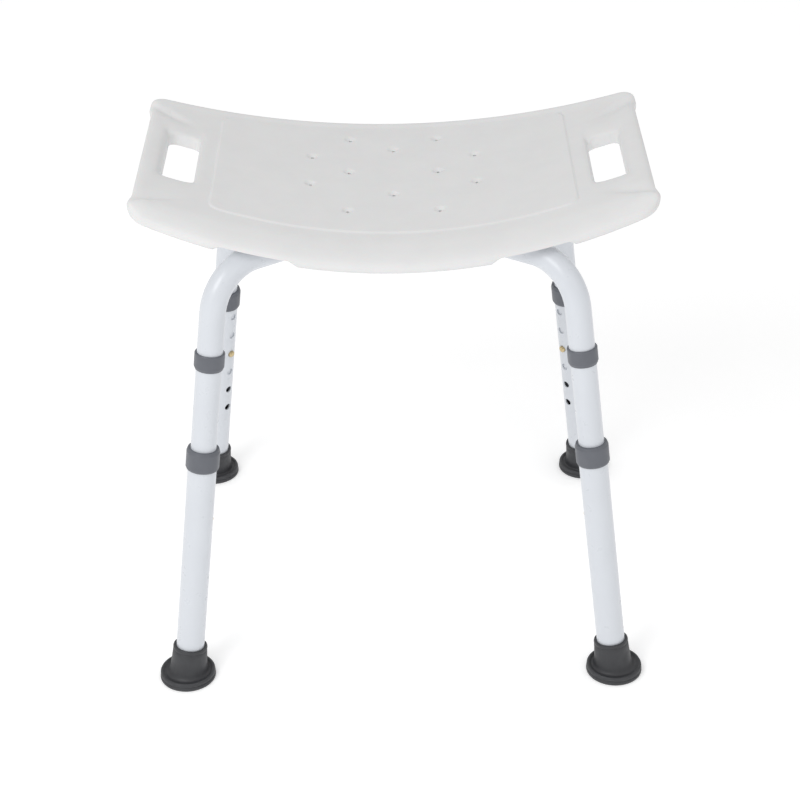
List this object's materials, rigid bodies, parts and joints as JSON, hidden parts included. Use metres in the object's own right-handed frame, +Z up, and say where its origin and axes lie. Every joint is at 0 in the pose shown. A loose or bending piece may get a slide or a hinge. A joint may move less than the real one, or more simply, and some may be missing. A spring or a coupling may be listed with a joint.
{
  "type": "shower chair",
  "caption": "Backless height-adjustable shower chair: dished plastic seat with hand-hold slots and drain holes on a crossed tube frame with sliding legs, snap buttons and rubber tips.",
  "frame": {"origin": "on the floor, under the middle of the seat", "axes": "+Z up, +X along the seat's long side to the sitter's left, -Y the side shown as the front"},
  "size_m": [0.505, 0.4442, 0.5064],
  "materials": {
    "seat_plastic": "fine-textured blow-moulded polyethylene",
    "tube_white": "white powder coat on aluminium tube",
    "collar_grey": "satin moulded plastic",
    "foot_rubber": "matt moulded rubber",
    "button_brass": "yellow-passivated pressed metal",
    "spring_steel": "spring steel strip",
    "hardware_steel": "zinc-plated steel",
    "insert_brass": "turned brass"
  },
  "bodies": {
    "frame": {"seat": "seat_plastic", "seat_inserts": "insert_brass", "seat_screws": "hardware_steel", "screw_washers": "hardware_steel", "cross_tube_main": "tube_white", "cross_tube_front_right": "tube_white", "cross_tube_rear_left": "tube_white", "cross_welds": "tube_white", "upper_collar_front_left": "collar_grey", "leg_tube_front_left": "tube_white", "height_spring_front_left": "spring_steel", "joint_spring_front_left": "spring_steel", "upper_collar_front_right": "collar_grey", "leg_tube_front_right": "tube_white", "height_spring_front_right": "spring_steel", "joint_spring_front_right": "spring_steel", "upper_collar_rear_left": "collar_grey", "leg_tube_rear_left": "tube_white", "height_spring_rear_left": "spring_steel", "joint_spring_rear_left": "spring_steel", "upper_collar_rear_right": "collar_grey", "leg_tube_rear_right": "tube_white", "height_spring_rear_right": "spring_steel", "joint_spring_rear_right": "spring_steel"},
    "leg_front_left": {"lower_tube_front_left": "tube_white", "lower_collar_front_left": "collar_grey", "foot_front_left": "foot_rubber", "foot_washer_front_left": "hardware_steel"},
    "height_snap_front_left": {"height_button_front_left": "button_brass"},
    "joint_snap_front_left": {"joint_button_front_left": "button_brass"},
    "leg_front_right": {"lower_tube_front_right": "tube_white", "lower_collar_front_right": "collar_grey", "foot_front_right": "foot_rubber", "foot_washer_front_right": "hardware_steel"},
    "height_snap_front_right": {"height_button_front_right": "button_brass"},
    "joint_snap_front_right": {"joint_button_front_right": "button_brass"},
    "leg_rear_left": {"lower_tube_rear_left": "tube_white", "lower_collar_rear_left": "collar_grey", "foot_rear_left": "foot_rubber", "foot_washer_rear_left": "hardware_steel"},
    "height_snap_rear_left": {"height_button_rear_left": "button_brass"},
    "joint_snap_rear_left": {"joint_button_rear_left": "button_brass"},
    "leg_rear_right": {"lower_tube_rear_right": "tube_white", "lower_collar_rear_right": "collar_grey", "foot_rear_right": "foot_rubber", "foot_washer_rear_right": "hardware_steel"},
    "height_snap_rear_right": {"height_button_rear_right": "button_brass"},
    "joint_snap_rear_right": {"joint_button_rear_right": "button_brass"}
  },
  "joints": [
    {"name": "height_front_left", "type": "slide", "parent": "frame", "child": "leg_front_left", "axis": [-0.1129, -0.0993, -0.9886], "range_m": [-0.0762, 0.0508], "deforming": ["height_button_front_left", "height_spring_front_left"]},
    {"name": "press_height_front_left", "type": "slide", "parent": "frame", "child": "height_snap_front_left", "axis": [-0.7423, -0.6529, 0.1504], "range_m": [0, 0.0044], "stiffness_N_per_m": 3000, "springref_m": -0.001, "deforming": ["height_spring_front_left"]},
    {"name": "press_joint_front_left", "type": "slide", "parent": "frame", "child": "joint_snap_front_left", "axis": [-0.7423, -0.6529, 0.1504], "range_m": [0, 0.0031], "stiffness_N_per_m": 3000, "springref_m": -0.001, "deforming": ["joint_spring_front_left"]},
    {"name": "height_front_right", "type": "slide", "parent": "frame", "child": "leg_front_right", "axis": [0.1129, -0.0993, -0.9886], "range_m": [-0.0762, 0.0508], "deforming": ["height_button_front_right", "height_spring_front_right"]},
    {"name": "press_height_front_right", "type": "slide", "parent": "frame", "child": "height_snap_front_right", "axis": [0.7423, -0.6529, 0.1504], "range_m": [0, 0.0044], "stiffness_N_per_m": 3000, "springref_m": -0.001, "deforming": ["height_spring_front_right"]},
    {"name": "press_joint_front_right", "type": "slide", "parent": "frame", "child": "joint_snap_front_right", "axis": [0.7423, -0.6529, 0.1504], "range_m": [0, 0.0031], "stiffness_N_per_m": 3000, "springref_m": -0.001, "deforming": ["joint_spring_front_right"]},
    {"name": "height_rear_left", "type": "slide", "parent": "frame", "child": "leg_rear_left", "axis": [-0.1129, 0.0993, -0.9886], "range_m": [-0.0762, 0.0508], "deforming": ["height_button_rear_left", "height_spring_rear_left"]},
    {"name": "press_height_rear_left", "type": "slide", "parent": "frame", "child": "height_snap_rear_left", "axis": [-0.7423, 0.6529, 0.1504], "range_m": [0, 0.0044], "stiffness_N_per_m": 3000, "springref_m": -0.001, "deforming": ["height_spring_rear_left"]},
    {"name": "press_joint_rear_left", "type": "slide", "parent": "frame", "child": "joint_snap_rear_left", "axis": [-0.7423, 0.6529, 0.1504], "range_m": [0, 0.0031], "stiffness_N_per_m": 3000, "springref_m": -0.001, "deforming": ["joint_spring_rear_left"]},
    {"name": "height_rear_right", "type": "slide", "parent": "frame", "child": "leg_rear_right", "axis": [0.1129, 0.0993, -0.9886], "range_m": [-0.0762, 0.0508], "deforming": ["height_button_rear_right", "height_spring_rear_right"]},
    {"name": "press_height_rear_right", "type": "slide", "parent": "frame", "child": "height_snap_rear_right", "axis": [0.7423, 0.6529, 0.1504], "range_m": [0, 0.0044], "stiffness_N_per_m": 3000, "springref_m": -0.001, "deforming": ["height_spring_rear_right"]},
    {"name": "press_joint_rear_right", "type": "slide", "parent": "frame", "child": "joint_snap_rear_right", "axis": [0.7423, 0.6529, 0.1504], "range_m": [0, 0.0031], "stiffness_N_per_m": 3000, "springref_m": -0.001, "deforming": ["joint_spring_rear_right"]}
  ]
}
